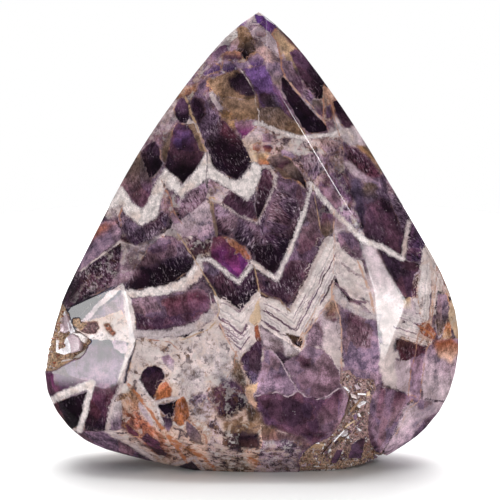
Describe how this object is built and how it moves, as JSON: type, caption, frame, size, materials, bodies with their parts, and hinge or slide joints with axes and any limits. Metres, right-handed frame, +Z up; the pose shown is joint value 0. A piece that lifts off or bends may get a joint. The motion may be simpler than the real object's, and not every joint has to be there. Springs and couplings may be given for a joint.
{
  "type": "polished amethyst freeform drop",
  "caption": "Polished, faceted teardrop of banded chevron amethyst standing on a small flat base, with two crystal-lined hollows in front.",
  "frame": {"origin": "middle of the object's box, on the surface it stands on", "axes": "+Z up towards the tip, +X to the right seen from the front, the main facet faces -Y"},
  "size_m": [0.133, 0.0552, 0.1464],
  "materials": {
    "amethyst": "high polish over purple, white and rust bands",
    "crust": "small bright crystals on rough brown ground"
  },
  "bodies": {
    "root": {"stone": "amethyst", "vug_crust": "crust", "seam_crust": "crust"}
  },
  "joints": []
}
